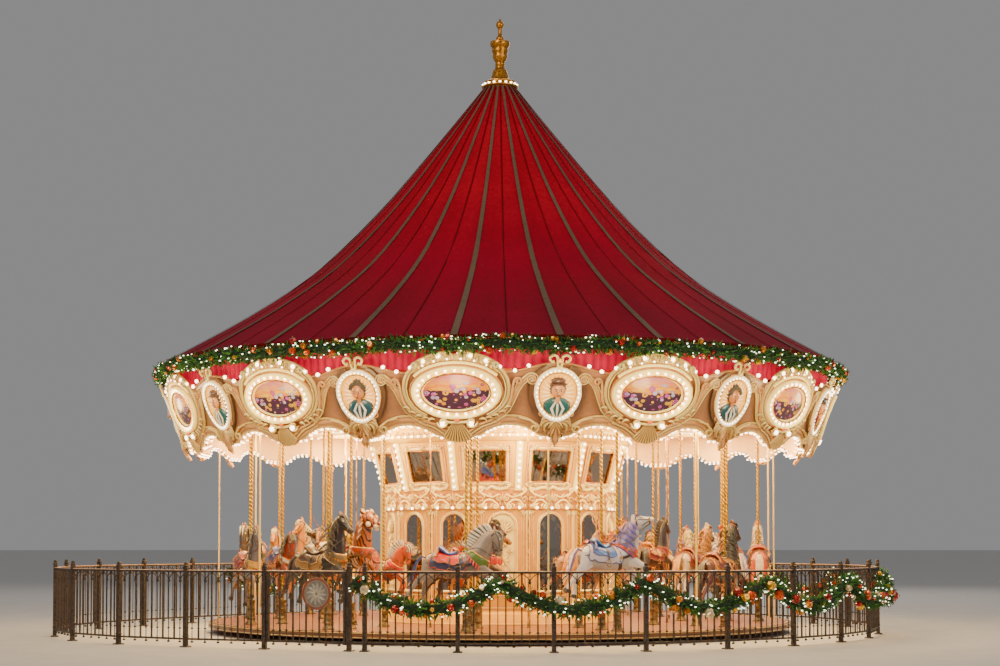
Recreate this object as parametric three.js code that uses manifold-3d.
// A fairground carousel: a turning platform with three rows of jumping figures, hung from sweeps on a
// fixed centre mast, under a tent canopy, inside an iron fence with a gate. Millimetres, +Z up.
// The origin is the middle of the underside of the mast's foot, on the ground. The front faces -Y.
import * as THREE from 'three';
import Module from 'manifold-3d';
import { mergeVertices } from 'three/addons/utils/BufferGeometryUtils.js';

const wasm = await Module();
wasm.setup();

// Seats and bearings
const SEAT_GAP = 0.3;
const RUNNING_GAP = 0.6;

// Angles are in degrees from the front, counter-clockwise seen from above
const SWEEP_COUNT = 12;
const BAY_ANGLE = 360 / SWEEP_COUNT;
const SWEEP_PHASE = 8.5;
const BOARD_PHASE = -6.5;
const FIGURE_PHASE = -6.5;

// Platform
const PLATFORM_RADIUS = 5486;
const FASCIA_THICKNESS = 46;
const FASCIA_BOTTOM = 100;
const DECK_BOTTOM = 120;
const DECK_TOP = 200;
const DECK_SIDES = 36;
const WELL_RADIUS = 2000;

// Figures, poles and the sleeves that the poles run in
const POLE_RADIUS = 25;
const POLE_SIDES = 6;
const POLE_BOTTOM = 400;
const POLE_TOP = 4250;
const SLEEVE_RADIUS = 70;
const SLEEVE_TOP = 640;
const BORE_BOTTOM = 140;
const FIGURE_HEIGHT = 1280;
// The rows of figures: setBack is how far an animal's middle sits behind its pole
const ROWS = [
  { name: 'outer', radius: 4880, scale: 1, setBack: 190, phases: 'cabdcabdcabd' },
  { name: 'middle', radius: 4300, scale: 0.9, setBack: 60, phases: 'cadbcdabcbda' },
  { name: 'inner', radius: 3430, scale: 0.8, setBack: 30, phases: 'cdabcdabcdab' },
];
const PHASE_HEIGHT = { a: 120, b: -120, c: 0, d: 0 };

// Mast, its foot and the collar that turns on it
const MAST_RADIUS = 150;
const MAST_SIDES = 16;
const MAST_TURN = 180 / MAST_SIDES;
const MAST_TOP = 10380;
const FOOT_RADIUS = 500;
const FOOT_HEIGHT = 90;
const SPIDER_LEGS = 6;
const SPIDER_REACH = 2600;
const SPIDER_WIDTH = 140;
const SOCKET_RADIUS = 230;
const SOCKET_TOP = 420;
const FLANGE_RADIUS = 260;
const FLANGE_THICKNESS = 75;
const COLLAR_RADIUS = 230;
const COLLAR_TOP = 10420;

// Ceiling and sweeps
const CEILING_BOTTOM = 3950;
const CEILING_THICKNESS = 25;
const CEILING_INNER = 2380;
const CEILING_OUTER = 5880;
const SLOT_INNER = 3330;
const SLOT_OUTER = 4980;
const SWEEP_HEIGHT = 150;
const SWEEP_WIDTH = 100;
const HANGER_RADIUS = 5300;
const HANGER_WIDTH = 25;
const UPRIGHT_RADIUS = 5970;
const UPRIGHT_WIDTH = 70;
const HOOP_INNER = 5930;
const HOOP_OUTER = 6200;
const HOOP_THICKNESS = 60;

// Canopy, from the rim up to the collar: radius and height of its ribs
const CANOPY_RIM = 6400;
const CANOPY_EAVE = 4920;
const CANOPY_RIBS = 24;
const CANOPY_OUTLINE = [[6020, 5120], [4830, 5820], [3610, 6680], [2350, 7920], [300, COLLAR_TOP]];
const CANOPY_THICKNESS = 40;
const CANOPY_SEAT = 6050;

// Garland under the rim
const GARLAND_RADIUS = 6395;
const GARLAND_HALF = 150;
const GARLAND_STEPS = 36;

// Rounding boards
const BOARD_TOP_RADIUS = 6314;
const BOARD_TOP = 4610;
const BOARD_LEAN = 0.385;
const BOARD_THICKNESS = 40;
const BOARD_EDGE_TOP = 4350;
const BOARD_EDGE_BOTTOM = 3540;
const BOARD_NODES = 3;
const BOARD_STATIONS = [0, 3, 6, 9, 12];
const OVAL_PENDANT = 3270;
const EGG_PENDANT = 3200;
const CARTOUCHE_HEIGHT = 4050;
const CARTOUCHE_PROUD = 80;
const OVAL_HALF_ANGLE = 7.5;
const EGG_HALF_ANGLE = 4.5;
const VALANCE = [[6130, 4340], [6145, 4340], [6190, 4859.7], [6170, 4859.7]];

// Centre drum
const DRUM_SIDES = 15;
const DRUM_PHASE = 1.2;
const DRUM_APOTHEM = 2130;
const DRUM_THICKNESS = 60;
const DRUM_TOP = 2300;
const PLINTH_PROUD = 110;
const PLINTH_TOP = 420;
const MIRROR_WIDTH = 480;
const MIRROR_SILL = 800;
const MIRROR_TOP = 2220;
const MIRROR_RECESS = 25;
const BAND_BOTTOM = 2320;
const BAND_TOP = 2610;
const CROWN_BOTTOM_RADIUS = 2160;
const CROWN_TOP_RADIUS = 2420;
const CROWN_TOP = 3480;
const CORNICE_PROUD = 130;
const CORNICE_TOP = 3949.7;

// Fence: a ring that swells out on the left around the queue
const FENCE_RADIUS = 7050;
const FENCE_BULGE = 1200;
const FENCE_BULGE_ANGLE = -72;
const FENCE_BULGE_HALF = 50;
const FENCE_START = -17.1;
const GATE_POST_ANGLE = -19.2;
const FENCE_PITCH = 1460;
const GATE_WIDTH = 1474;
const POST_WIDTH = 64;
const POST_TOP = 1360;
const RAIL_DEPTH = 30;
const RAIL_TOP = 1224;
const RAIL_TOP_HEIGHT = 30;
const RAIL_BOTTOM = 115;
const RAIL_BOTTOM_HEIGHT = 30;
const BARS_PER_BAY = 2;
const BAR_WIDTH = 22;
const FENCE_NODES = 3;
const GATE_PIVOT = 75;
const GATE_STILE = 40;
const GATE_LATCH_GAP = 12;
const PIVOT_PIN_RADIUS = 8;
const LUG_HEIGHT = 24;
const LUG_LENGTH = 70;

// Fence garland in swags
const SWAG_ANGLE = 18;
const SWAG_COUNT = 14;
const SWAG_STEPS = 3;
const SWAG_HIGH = 1130;
const SWAG_LOW = 760;
const SWAG_RADIUS = 125;
const SWAG_SIDES = 5;
const SWAG_CENTRE = 7178;
const SWAG_PAST_GATE = 1.2;

const group = new THREE.Group();

const radians = THREE.MathUtils.degToRad;

const finishes = {
  mast: new THREE.MeshStandardMaterial({ color: 0x6f6a64, roughness: 0.5, metalness: 0.7 }),
  deck: new THREE.MeshStandardMaterial({ color: 0xcd967d, roughness: 0.6, metalness: 0 }),
  wood: new THREE.MeshStandardMaterial({ color: 0x5f412d, roughness: 0.6, metalness: 0 }),
  cream: new THREE.MeshStandardMaterial({ color: 0xebcdaa, roughness: 0.45, metalness: 0 }),
  board: new THREE.MeshStandardMaterial({ color: 0xa57d64, roughness: 0.5, metalness: 0 }),
  mirror: new THREE.MeshStandardMaterial({ color: 0xd8cfc4, roughness: 0.1, metalness: 1 }),
  canopy: new THREE.MeshStandardMaterial({ color: 0x91040f, roughness: 0.85, metalness: 0 }),
  iron: new THREE.MeshStandardMaterial({ color: 0x4b413c, roughness: 0.55, metalness: 0.5 }),
  leaf: new THREE.MeshStandardMaterial({ color: 0x1e3d1c, roughness: 0.9, metalness: 0 }),
  gold: new THREE.MeshStandardMaterial({ color: 0xb98a45, roughness: 0.35, metalness: 0.9 }),
  figure: new THREE.MeshStandardMaterial({ color: 0xe2c9a8, roughness: 0.35, metalness: 0 }),
};

// Turns a closed geometry into a solid: shared vertices merged, flat triangles dropped, faces outward
function solid(geometry) {
  const bare = geometry.clone();
  bare.deleteAttribute('normal');
  bare.deleteAttribute('uv');
  const merged = mergeVertices(bare, 1e-3);
  const place = merged.attributes.position;
  const index = merged.index.array;
  const corner = [new THREE.Vector3(), new THREE.Vector3(), new THREE.Vector3()];
  const faces = [];
  let volume = 0;
  for (let i = 0; i < index.length; i += 3) {
    const face = [index[i], index[i + 1], index[i + 2]];
    if (face[0] === face[1] || face[1] === face[2] || face[2] === face[0]) continue;
    face.forEach((vertex, k) => corner[k].fromBufferAttribute(place, vertex));
    volume += corner[0].dot(corner[1].cross(corner[2]));
    faces.push(face);
  }
  const outward = volume > 0 ? faces : faces.map(([a, b, c]) => [a, c, b]);
  return new wasm.Manifold(new wasm.Mesh({
    numProp: 3,
    vertProperties: new Float32Array(place.array),
    triVerts: new Uint32Array(outward.flat()),
  }));
}

function join(solids) {
  return solids.reduce((whole, piece) => whole.add(piece));
}

function geometryOf(body) {
  const mesh = body.getMesh();
  const geometry = new THREE.BufferGeometry();
  geometry.setAttribute('position', new THREE.Float32BufferAttribute(mesh.vertProperties, 3));
  geometry.setIndex(new THREE.Uint32BufferAttribute(mesh.triVerts, 1));
  geometry.computeVertexNormals();
  return geometry;
}

function addNode(name, body, finish, turn = 0) {
  const mesh = new THREE.Mesh(geometryOf(body), finishes[finish]);
  mesh.name = name;
  mesh.rotation.z = radians(turn);
  group.add(mesh);
  return mesh;
}

// A point at a radius, an angle from the front and a height
function polar(radius, angle, height) {
  return new THREE.Vector3(radius * Math.sin(radians(angle)), -radius * Math.cos(radians(angle)), height);
}

// A box from its middle, its size and a turn about the vertical through the origin
function block([x, y, z], [width, depth, height], turn = 0) {
  const geometry = new THREE.BoxGeometry(width, depth, height);
  geometry.translate(x, y, z);
  geometry.rotateZ(radians(turn));
  return solid(geometry);
}

// A box between two heights that runs outward from one radius to another at an angle
function beam(inner, outer, bottom, top, width, angle) {
  const middle = [0, -(inner + outer) / 2, (bottom + top) / 2];
  return block(middle, [width, outer - inner, top - bottom], angle);
}

// A profile of [radius, height] points turned about the vertical, with a vertex at the given angle.
// A profile that touches the axis starts and ends there, and any other is closed here.
function turned(profile, sides, angle = 0) {
  const points = profile.map(([radius, height]) => new THREE.Vector2(radius, height));
  if (profile[0][0] !== 0) points.push(points[0].clone());
  const geometry = new THREE.LatheGeometry(points, sides);
  geometry.rotateX(Math.PI / 2);
  geometry.rotateZ(radians(angle));
  return solid(geometry);
}

function disc(radius, bottom, top, sides, angle = 0) {
  return turned([[0, bottom], [radius, bottom], [radius, top], [0, top]], sides, angle);
}

function hoop(inner, outer, bottom, top, sides, angle = 0) {
  return turned([[inner, bottom], [outer, bottom], [outer, top], [inner, top]], sides, angle);
}

// The radius at the corners of a regular polygon with the given radius at the middle of its sides
function cornerRadius(apothem, sides) {
  return apothem / Math.cos(Math.PI / sides);
}

// A closed body through rings of points with equal counts, capped at both ends
function loft(rings) {
  const count = rings[0].length;
  const positions = rings.flat().flatMap((point) => [point.x, point.y, point.z]);
  const index = [];
  for (let i = 0; i + 1 < rings.length; i += 1) {
    for (let j = 0; j < count; j += 1) {
      const a = i * count + j;
      const b = i * count + (j + 1) % count;
      index.push(a, b, b + count, a, b + count, a + count);
    }
  }
  const last = (rings.length - 1) * count;
  for (let j = 1; j + 1 < count; j += 1) {
    index.push(0, j + 1, j, last, last + j, last + j + 1);
  }
  const geometry = new THREE.BufferGeometry();
  geometry.setAttribute('position', new THREE.Float32BufferAttribute(positions, 3));
  geometry.setIndex(index);
  return solid(geometry);
}

// A limb in the plane of travel: points are [forward, up, depth, width] with elliptical sections
function limb(points, sides, side = 0) {
  const rings = points.map(([x, z, depth, width], i) => {
    const before = points[Math.max(i - 1, 0)];
    const after = points[Math.min(i + 1, points.length - 1)];
    const along = new THREE.Vector2(after[0] - before[0], after[1] - before[1]).normalize();
    return Array.from({ length: sides }, (_, j) => {
      const angle = 2 * Math.PI * (j + 0.5) / sides;
      const rise = Math.cos(angle) * depth / 2;
      return new THREE.Vector3(x - along.y * rise, side + Math.sin(angle) * width / 2, z + along.x * rise);
    });
  });
  return loft(rings);
}

function makeBase() {
  const mast = disc(MAST_RADIUS, FOOT_HEIGHT + SEAT_GAP, MAST_TOP, MAST_SIDES, MAST_TURN);
  const flangeTop = CEILING_BOTTOM + CEILING_THICKNESS;
  const flange = disc(FLANGE_RADIUS, flangeTop - FLANGE_THICKNESS, flangeTop, MAST_SIDES, MAST_TURN);
  addNode('centre_mast', mast.add(flange), 'mast');
  const bore = cornerRadius(MAST_RADIUS + SEAT_GAP, MAST_SIDES);
  const legs = Array.from({ length: SPIDER_LEGS }, (_, i) =>
    beam(0, SPIDER_REACH, 0, FOOT_HEIGHT, SPIDER_WIDTH, i * 360 / SPIDER_LEGS));
  const socket = hoop(bore, SOCKET_RADIUS, FOOT_HEIGHT, SOCKET_TOP, MAST_SIDES);
  const plate = disc(FOOT_RADIUS, 0, FOOT_HEIGHT, MAST_SIDES);
  addNode('base_frame', join([plate, socket, ...legs]), 'mast');
}

function makePlatform() {
  const deckRadius = PLATFORM_RADIUS - FASCIA_THICKNESS;
  let deck = hoop(WELL_RADIUS, deckRadius - SEAT_GAP, DECK_BOTTOM, DECK_TOP, DECK_SIDES);
  const bore = POLE_RADIUS + RUNNING_GAP;
  const sleeves = [];
  const bores = [];
  for (const row of ROWS) {
    for (let i = 0; i < SWEEP_COUNT; i += 1) {
      const angle = FIGURE_PHASE + i * BAY_ANGLE;
      const place = polar(row.radius, angle, 0);
      const sleeve = new THREE.CylinderGeometry(SLEEVE_RADIUS, SLEEVE_RADIUS, SLEEVE_TOP - DECK_BOTTOM - 1,
        POLE_SIDES);
      const hole = new THREE.CylinderGeometry(bore, bore, SLEEVE_TOP, POLE_SIDES);
      for (const geometry of [sleeve, hole]) {
        geometry.rotateX(Math.PI / 2);
        geometry.rotateZ(radians(angle));
      }
      sleeve.translate(place.x, place.y, (SLEEVE_TOP + DECK_BOTTOM + 1) / 2);
      hole.translate(place.x, place.y, SLEEVE_TOP / 2 + BORE_BOTTOM);
      sleeves.push(solid(sleeve));
      bores.push(solid(hole));
    }
  }
  deck = join([deck, ...sleeves]).subtract(join(bores));
  addNode('platform_deck', deck, 'deck');
  const fascia = hoop(deckRadius, PLATFORM_RADIUS, FASCIA_BOTTOM, DECK_TOP + 5, DECK_SIDES);
  addNode('platform_fascia', fascia, 'wood');
}

function makeDrum() {
  const outer = cornerRadius(DRUM_APOTHEM, DRUM_SIDES);
  const inner = cornerRadius(DRUM_APOTHEM - DRUM_THICKNESS, DRUM_SIDES);
  const turn = DRUM_PHASE + 180 / DRUM_SIDES;
  const wall = turned([
    [inner, DECK_TOP + SEAT_GAP],
    [outer + PLINTH_PROUD, DECK_TOP + SEAT_GAP],
    [outer + PLINTH_PROUD, PLINTH_TOP - 60],
    [outer, PLINTH_TOP],
    [outer, DRUM_TOP],
    [outer + 40, DRUM_TOP],
    [outer + 40, BAND_BOTTOM],
    [inner, BAND_BOTTOM],
  ], DRUM_SIDES, turn);
  const arch = new THREE.Shape();
  const half = MIRROR_WIDTH / 2;
  arch.moveTo(-half, MIRROR_SILL);
  arch.lineTo(half, MIRROR_SILL);
  arch.lineTo(half, MIRROR_TOP - half);
  arch.absarc(0, MIRROR_TOP - half, half, 0, Math.PI);
  const recesses = Array.from({ length: DRUM_SIDES }, (_, i) => {
    const recess = new THREE.ExtrudeGeometry(arch, {
      depth: 2 * MIRROR_RECESS, bevelEnabled: false, curveSegments: 2,
    });
    recess.rotateX(Math.PI / 2);
    recess.translate(0, -DRUM_APOTHEM + MIRROR_RECESS, 0);
    recess.rotateZ(radians(DRUM_PHASE + i * 360 / DRUM_SIDES));
    return solid(recess);
  });
  addNode('drum_wall', wall.subtract(join(recesses)), 'cream');
  const band = turned([
    [outer - 40, BAND_BOTTOM + SEAT_GAP],
    [outer + 20, BAND_BOTTOM + SEAT_GAP],
    [outer + 40, BAND_TOP - SEAT_GAP],
    [outer - 40, BAND_TOP - SEAT_GAP],
  ], DRUM_SIDES, turn);
  addNode('drum_scroll_band', band, 'gold');
  const crown = turned([
    [CROWN_BOTTOM_RADIUS - 60, BAND_TOP],
    [CROWN_BOTTOM_RADIUS + 20, BAND_TOP],
    [CROWN_TOP_RADIUS, CROWN_TOP],
    [CROWN_TOP_RADIUS + CORNICE_PROUD, CROWN_TOP + 60],
    [CROWN_TOP_RADIUS + CORNICE_PROUD, CROWN_TOP + 260],
    [CROWN_TOP_RADIUS + 60, CORNICE_TOP],
    [CROWN_TOP_RADIUS - 60, CORNICE_TOP],
    [CROWN_TOP_RADIUS - 60, CROWN_TOP],
  ], SWEEP_COUNT, BOARD_PHASE + BAY_ANGLE / 2);
  addNode('mirror_crown', crown, 'mirror');
}

function makeSweepFrame() {
  const top = CEILING_BOTTOM + CEILING_THICKNESS;
  const bore = cornerRadius(MAST_RADIUS + RUNNING_GAP, MAST_SIDES);
  const sweepBottom = top + SEAT_GAP;
  const collar = hoop(bore, COLLAR_RADIUS, sweepBottom, COLLAR_TOP, MAST_SIDES);
  const facetDip = SWEEP_WIDTH / 2 * Math.tan(radians(BOARD_STATIONS[1] / 2));
  const sweepEnd = boardRadius(sweepBottom) - BOARD_THICKNESS - facetDip - SEAT_GAP;
  const pieces = [collar, hoop(HOOP_INNER, HOOP_OUTER, CANOPY_EAVE - SEAT_GAP - HOOP_THICKNESS,
    CANOPY_EAVE - SEAT_GAP, CANOPY_RIBS, BOARD_PHASE)];
  for (let i = 0; i < SWEEP_COUNT; i += 1) {
    const angle = SWEEP_PHASE + i * BAY_ANGLE;
    const sweepTop = sweepBottom + SWEEP_HEIGHT;
    pieces.push(beam(COLLAR_RADIUS - 20, sweepEnd, sweepBottom, sweepTop, SWEEP_WIDTH, angle));
    pieces.push(beam(UPRIGHT_RADIUS - UPRIGHT_WIDTH / 2, UPRIGHT_RADIUS + UPRIGHT_WIDTH / 2,
      sweepBottom + 1, CANOPY_EAVE - HOOP_THICKNESS / 2, UPRIGHT_WIDTH, angle));
    pieces.push(beam(HANGER_RADIUS - HANGER_WIDTH / 2, HANGER_RADIUS + HANGER_WIDTH / 2,
      DECK_TOP + SEAT_GAP, sweepBottom + SWEEP_HEIGHT / 2, HANGER_WIDTH, angle));
  }
  addNode('sweep_frame', join(pieces), 'mast');
}

function makeCeiling() {
  const top = CEILING_BOTTOM + CEILING_THICKNESS;
  const plate = hoop(CEILING_INNER, CEILING_OUTER, CEILING_BOTTOM, top, CANOPY_RIBS, BOARD_PHASE);
  const slotWidth = 2 * (POLE_RADIUS * Math.cos(Math.PI / POLE_SIDES) + RUNNING_GAP);
  const hangerHole = HANGER_WIDTH + 2 * RUNNING_GAP;
  const low = CEILING_BOTTOM - 10;
  const high = top + 10;
  const cuts = [];
  for (let i = 0; i < SWEEP_COUNT; i += 1) {
    const turn = i * BAY_ANGLE;
    cuts.push(beam(SLOT_INNER, SLOT_OUTER, low, high, slotWidth, FIGURE_PHASE + turn));
    cuts.push(beam(HANGER_RADIUS - hangerHole / 2, HANGER_RADIUS + hangerHole / 2, low, high, hangerHole,
      SWEEP_PHASE + turn));
  }
  addNode('ceiling', plate.subtract(join(cuts)), 'cream');
}

function makeCanopy() {
  const outer = [[CANOPY_RIM, CANOPY_EAVE], ...CANOPY_OUTLINE];
  const inner = CANOPY_OUTLINE.map(
    ([radius, height]) => [radius - 0.4 * CANOPY_THICKNESS, height - CANOPY_THICKNESS]);
  const hole = cornerRadius(COLLAR_RADIUS + RUNNING_GAP, CANOPY_RIBS);
  inner[inner.length - 1] = [hole, COLLAR_TOP - 3 * CANOPY_THICKNESS];
  const profile = [...outer, [hole, COLLAR_TOP], ...inner.reverse(), [CANOPY_SEAT - 90, CANOPY_EAVE]];
  addNode('canopy', turned(profile, CANOPY_RIBS, BOARD_PHASE), 'canopy');
  addNode('valance', turned(VALANCE, CANOPY_RIBS, BOARD_PHASE), 'canopy');
  const low = CANOPY_EAVE - SEAT_GAP - 2 * GARLAND_HALF;
  const high = CANOPY_EAVE - SEAT_GAP;
  const garland = turned([
    [GARLAND_RADIUS - GARLAND_HALF, (low + high) / 2],
    [GARLAND_RADIUS - GARLAND_HALF / 2, low],
    [GARLAND_RADIUS + GARLAND_HALF / 2, low],
    [GARLAND_RADIUS + GARLAND_HALF, (low + high) / 2],
    [GARLAND_RADIUS + GARLAND_HALF / 2, high],
    [GARLAND_RADIUS - GARLAND_HALF / 2, high],
  ], GARLAND_STEPS, BOARD_PHASE);
  addNode('rim_garland', garland, 'leaf');
}

function makeFinial() {
  const base = COLLAR_TOP + SEAT_GAP;
  const profile = [
    [0, base], [354, base], [354, 10460], [290, 10480], [290, 10560], [172, 10580], [134, 10780],
    [92, 10830], [92, 10910], [100, 10940], [143, 11040], [157, 11190], [190, 11250], [190, 11340],
    [78, 11370], [78, 11420], [40, 11450], [40, 11610], [77, 11650], [77, 11710], [20, 11755], [0, 11790],
  ];
  addNode('finial', turned(profile, 10), 'gold');
}

// Radius of the boards' front face at a height
function boardRadius(height) {
  return BOARD_TOP_RADIUS + (height - BOARD_TOP) * BOARD_LEAN;
}

// How far a cartouche lifts or drops the boards' edge: a smooth hump of the given half width
function hump(distance, half) {
  return distance >= half ? 0 : Math.cos(0.5 * Math.PI * distance / half) ** 2;
}

// The angle from the nearest bay middle, where an oval cartouche is, and half a bay off is an egg-shaped one
function ovalDistance(angle) {
  return Math.abs(((angle - BOARD_PHASE) % BAY_ANGLE + BAY_ANGLE * 1.5) % BAY_ANGLE - BAY_ANGLE / 2);
}

function boardEdges(angle) {
  const toOval = ovalDistance(angle);
  const toEgg = BAY_ANGLE / 2 - toOval;
  const crown = Math.max(hump(toOval, 7), hump(toEgg, 4));
  const ovalDrop = hump(toOval, 5) * (BOARD_EDGE_BOTTOM - OVAL_PENDANT);
  const eggDrop = hump(toEgg, 4.5) * (BOARD_EDGE_BOTTOM - EGG_PENDANT);
  const top = BOARD_EDGE_TOP + crown * (BOARD_TOP - BOARD_EDGE_TOP);
  return [BOARD_EDGE_BOTTOM - Math.max(ovalDrop, eggDrop), top];
}

// How far the boards' face swells out at the cartouches
function boardSwell(angle) {
  const toOval = ovalDistance(angle);
  const nearest = Math.max(hump(toOval, OVAL_HALF_ANGLE), hump(BAY_ANGLE / 2 - toOval, EGG_HALF_ANGLE));
  return CARTOUCHE_PROUD * nearest;
}

function makeBoards() {
  const baysPerNode = SWEEP_COUNT / BOARD_NODES;
  const seam = 7.5;
  for (let n = 0; n < BOARD_NODES; n += 1) {
    const start = BOARD_PHASE + seam + n * baysPerNode * BAY_ANGLE;
    const end = start + baysPerNode * BAY_ANGLE;
    const angles = [];
    for (let half = 0; half < 2 * baysPerNode; half += 1) {
      for (const station of BOARD_STATIONS) {
        angles.push(start - seam + half * BAY_ANGLE / 2 + station);
      }
    }
    angles.push(end - seam, ...BOARD_STATIONS.slice(1, 3).map((station) => end - seam + station));
    const seat = 0.003;
    const inside = angles.filter((angle) => angle > start + 0.5 && angle < end - 0.5);
    const rings = [start + seat, ...inside, end - seat].map((angle) => {
      const [bottom, top] = boardEdges(angle);
      return [
        polar(boardRadius(bottom), angle, bottom),
        polar(boardRadius(CARTOUCHE_HEIGHT) + boardSwell(angle), angle, CARTOUCHE_HEIGHT),
        polar(boardRadius(top), angle, top),
        polar(boardRadius(top) - BOARD_THICKNESS, angle, top),
        polar(boardRadius(bottom) - BOARD_THICKNESS, angle, bottom),
      ];
    });
    addNode(`rounding_boards_${n + 1}`, loft(rings), 'board');
  }
}

// Body sections from the rump through the neck to the nose, tail and legs: [forward, up, depth, width]
const FIGURES = {
  horse: {
    body: [[-500, 60, 130, 120], [-340, 50, 400, 330], [200, 10, 420, 330], [390, 220, 360, 220],
      [440, 500, 260, 160], [520, 710, 190, 130], [710, 510, 110, 90]],
    tail: [[-450, 120, 110, 80], [-680, -150, 70, 60]],
  },
  tiger: {
    body: [[-500, 60, 130, 120], [-340, 50, 380, 320], [200, 10, 400, 330], [360, 210, 390, 290],
      [390, 480, 320, 250], [480, 720, 290, 260], [690, 630, 130, 130]],
    tail: [[-440, 120, 80, 60], [-720, 180, 60, 50]],
  },
};
const LEGS = [
  { side: 90, points: [[350, -30, 200, 110], [560, -290, 90, 80], [420, -560, 80, 90]] },
  { side: -90, points: [[350, -30, 200, 110], [640, -130, 90, 80], [560, -420, 80, 90]] },
  { side: 100, points: [[-370, 20, 300, 130], [-480, -300, 110, 80], [-560, -600, 80, 90]] },
  { side: -100, points: [[-370, 20, 300, 130], [-580, -250, 110, 80], [-780, -490, 80, 90]] },
];

// A leaping figure on its pole, facing +X, with the pole on the vertical through the origin
function figure(kind, scale, setBack, lift) {
  const { body, tail } = FIGURES[kind];
  const animal = join([
    limb(body, 6),
    limb(tail, 3),
    ...LEGS.map(({ side, points }) => limb(points, 3, side)),
  ]).scale([scale, scale, scale]).translate([-setBack, 0, FIGURE_HEIGHT + lift]);
  return animal.add(disc(POLE_RADIUS, POLE_BOTTOM + lift, POLE_TOP + lift, POLE_SIDES));
}

function makeFigures() {
  for (const row of ROWS) {
    for (let i = 0; i < SWEEP_COUNT; i += 1) {
      const kind = row.name === 'middle' && i % 4 === 3 ? 'tiger' : 'horse';
      const body = figure(kind, row.scale, row.setBack, PHASE_HEIGHT[row.phases[i]]);
      const angle = FIGURE_PHASE + i * BAY_ANGLE;
      const mesh = addNode(`${row.name}_figure_${String(i + 1).padStart(2, '0')}`, body, 'figure', angle);
      mesh.position.copy(polar(row.radius, angle, 0));
    }
  }
}

function fenceRadius(angle) {
  const away = Math.abs(((angle - FENCE_BULGE_ANGLE) % 360 + 540) % 360 - 180);
  return FENCE_RADIUS + FENCE_BULGE * hump(away, FENCE_BULGE_HALF);
}

function fencePoint(angle) {
  return polar(fenceRadius(angle), angle, 0);
}

// The angle on the fence line at a straight distance from a start angle, found by halving
function stepAlong(start, distance, direction) {
  const from = fencePoint(start);
  let low = start;
  let high = start + direction * 30;
  for (let i = 0; i < 40; i += 1) {
    const middle = (low + high) / 2;
    if (fencePoint(middle).distanceTo(from) < distance) low = middle;
    else high = middle;
  }
  return (low + high) / 2;
}

// Post places from the gate's hinge side round to its latch side, in equal steps
function fencePosts() {
  const latch = stepAlong(GATE_POST_ANGLE, GATE_WIDTH, -1) + 360;
  let count = 0;
  for (let angle = FENCE_START; angle < latch; angle = stepAlong(angle, FENCE_PITCH, 1)) count += 1;
  let low = FENCE_PITCH * 0.9;
  let high = FENCE_PITCH * 1.1;
  const walk = (pitch) => {
    const angles = [FENCE_START];
    for (let i = 0; i < count; i += 1) angles.push(stepAlong(angles[i], pitch, 1));
    return angles;
  };
  for (let i = 0; i < 40; i += 1) {
    const middle = (low + high) / 2;
    if (walk(middle)[count] < latch) low = middle;
    else high = middle;
  }
  return walk((low + high) / 2);
}

function post(place, heading, clearance = 0) {
  const half = POST_WIDTH / 2 + clearance;
  const outline = [[0, 0], [half, 0], [half, POST_TOP - 60], [0, POST_TOP]];
  const body = turned(outline.map(([radius, height]) => [radius * Math.SQRT2, height]), 4, 45);
  return body.rotate([0, 0, heading]).translate([place.x, place.y, 0]);
}

// A run of rails and bars between two places, each end held back from the place by a margin
function panel(from, to, startMargin, endMargin, bars) {
  const length = from.distanceTo(to);
  const heading = THREE.MathUtils.radToDeg(Math.atan2(to.y - from.y, to.x - from.x));
  const run = length - startMargin - endMargin;
  const middle = startMargin + run / 2;
  const rail = (bottom, height) => block([middle, 0, bottom + height / 2], [run, RAIL_DEPTH, height]);
  const pieces = [rail(RAIL_BOTTOM, RAIL_BOTTOM_HEIGHT), rail(RAIL_TOP - RAIL_TOP_HEIGHT, RAIL_TOP_HEIGHT)];
  const low = RAIL_BOTTOM + RAIL_BOTTOM_HEIGHT / 2;
  const high = RAIL_TOP - RAIL_TOP_HEIGHT / 2;
  for (let i = 1; i <= bars; i += 1) {
    pieces.push(block([length * i / (bars + 1), 0, (low + high) / 2], [BAR_WIDTH, BAR_WIDTH, high - low]));
  }
  return pieces.map((piece) => piece.rotate([0, 0, heading]).translate([from.x, from.y, 0]));
}

function headingAt(angles, i) {
  const before = fencePoint(angles[Math.max(i - 1, 0)]);
  const after = fencePoint(angles[Math.min(i + 1, angles.length - 1)]);
  return THREE.MathUtils.radToDeg(Math.atan2(after.y - before.y, after.x - before.x));
}

function makeFence() {
  const angles = fencePosts();
  const bays = angles.length - 1;
  const posts = angles.map((angle, i) => post(fencePoint(angle), headingAt(angles, i)));
  const clearPosts = angles.map((angle, i) => post(fencePoint(angle), headingAt(angles, i), SEAT_GAP));
  const half = POST_WIDTH / 2;
  for (let n = 0; n < FENCE_NODES; n += 1) {
    const first = Math.round(n * bays / FENCE_NODES);
    const last = Math.round((n + 1) * bays / FENCE_NODES);
    const pieces = [];
    for (let i = first; i < last; i += 1) {
      pieces.push(posts[i]);
      const ends = [fencePoint(angles[i]), fencePoint(angles[i + 1])];
      pieces.push(...panel(...ends, half - 5, half - 5, BARS_PER_BAY));
    }
    if (n === 0) pieces.push(...gatePost());
    if (n === FENCE_NODES - 1) pieces.push(posts[bays]);
    let section = join(pieces);
    if (n < FENCE_NODES - 1) section = section.subtract(clearPosts[last]);
    addNode(`fence_section_${n + 1}`, section, 'iron');
  }
  makeGarland(clearPosts);
}

function gateLine() {
  const hinge = fencePoint(GATE_POST_ANGLE);
  const latch = fencePoint(stepAlong(GATE_POST_ANGLE, GATE_WIDTH, -1));
  const along = latch.clone().sub(hinge).normalize();
  return { hinge, latch, along, heading: THREE.MathUtils.radToDeg(Math.atan2(along.y, along.x)) };
}

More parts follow.
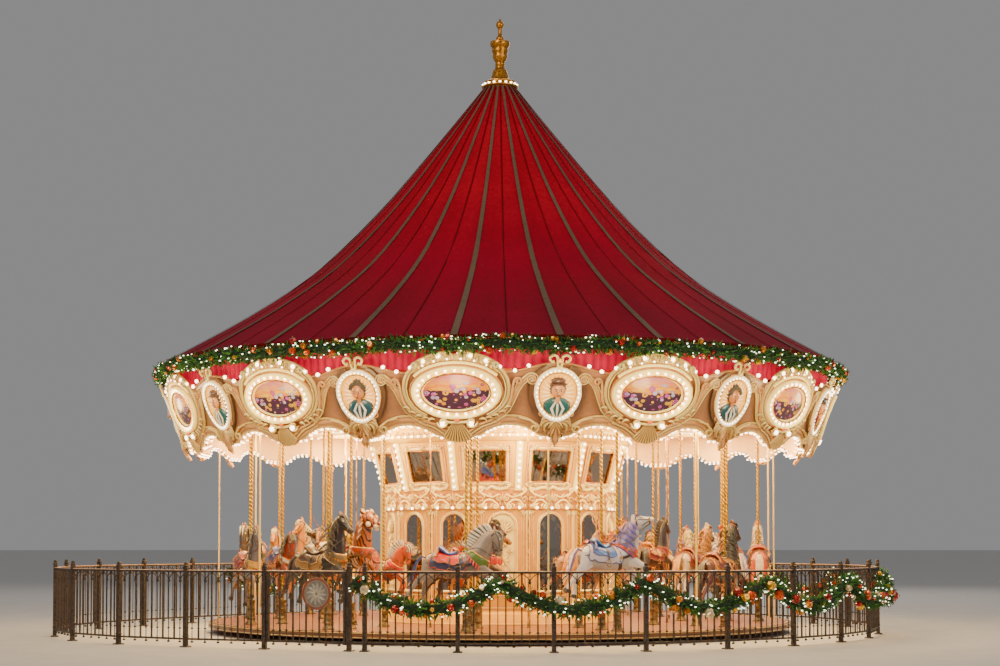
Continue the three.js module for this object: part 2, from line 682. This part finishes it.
// The gate's own post, tied to the first fence post, with two lugs that hold the leaf's pivot pins
function gatePost() {
  const { hinge, along, heading } = gateLine();
  const tie = panel(hinge, fencePoint(FENCE_START), POST_WIDTH / 2 - 5, POST_WIDTH / 2 - 5, 0);
  const pivot = hinge.clone().addScaledVector(along, GATE_PIVOT);
  const bore = PIVOT_PIN_RADIUS + RUNNING_GAP;
  const lugs = [RAIL_BOTTOM - LUG_HEIGHT - SEAT_GAP, RAIL_TOP + SEAT_GAP].map((bottom) => {
    const lug = block([POST_WIDTH / 2 - 5 + LUG_LENGTH / 2, 0, bottom + LUG_HEIGHT / 2],
      [LUG_LENGTH, GATE_STILE, LUG_HEIGHT]).rotate([0, 0, heading]).translate([hinge.x, hinge.y, 0]);
    const hole = disc(bore, bottom - 5, bottom + LUG_HEIGHT + 5, 8).translate([pivot.x, pivot.y, 0]);
    return lug.subtract(hole);
  });
  return [post(hinge, heading), ...tie, ...lugs];
}

function makeGate() {
  const { hinge, latch, along, heading } = gateLine();
  const start = hinge.clone().addScaledVector(along, GATE_PIVOT - GATE_STILE / 2);
  const width = hinge.distanceTo(latch);
  const reach = width - POST_WIDTH / 2 - GATE_LATCH_GAP - GATE_PIVOT + GATE_STILE / 2;
  const end = start.clone().addScaledVector(along, reach);
  const pivot = hinge.clone().addScaledVector(along, GATE_PIVOT);
  const stileSize = [GATE_STILE, GATE_STILE, RAIL_TOP - RAIL_BOTTOM];
  const stile = (offset) => block([offset, 0, (RAIL_BOTTOM + RAIL_TOP) / 2], stileSize)
    .rotate([0, 0, heading]).translate([start.x, start.y, 0]);
  const pin = (bottom) =>
    disc(PIVOT_PIN_RADIUS, bottom, bottom + LUG_HEIGHT + 10, 8).translate([pivot.x, pivot.y, 0]);
  const pins = [pin(RAIL_BOTTOM - LUG_HEIGHT), pin(RAIL_TOP - 10)];
  const leaf = join([...panel(start, end, 5, 5, BARS_PER_BAY), stile(GATE_STILE / 2),
    stile(reach - GATE_STILE / 2), ...pins]);
  addNode('gate_leaf', leaf, 'iron');
}

// Swags hooked over the outer side of the fence, from the gate round by the back
function makeGarland(clearPosts) {
  const rings = [];
  const steps = SWAG_COUNT * SWAG_STEPS;
  for (let i = 0; i <= steps; i += 1) {
    const angle = -SWAG_ANGLE + SWAG_PAST_GATE + i * SWAG_ANGLE / SWAG_STEPS;
    const sag = Math.sin(Math.PI * (i % SWAG_STEPS) / SWAG_STEPS) ** 0.9;
    const height = SWAG_HIGH - (SWAG_HIGH - SWAG_LOW) * sag;
    const centre = SWAG_CENTRE + fenceRadius(angle) - FENCE_RADIUS;
    rings.push(Array.from({ length: SWAG_SIDES }, (_, j) => {
      const turn = 2 * Math.PI * j / SWAG_SIDES;
      return polar(centre + SWAG_RADIUS * Math.cos(turn), angle, height + SWAG_RADIUS * Math.sin(turn));
    }));
  }
  addNode('fence_garland', loft(rings).subtract(join(clearPosts)), 'leaf');
}

makeBase();
makePlatform();
makeDrum();
makeSweepFrame();
makeCeiling();
makeBoards();
makeCanopy();
makeFinial();
makeFigures();
makeFence();
makeGate();

export default group;
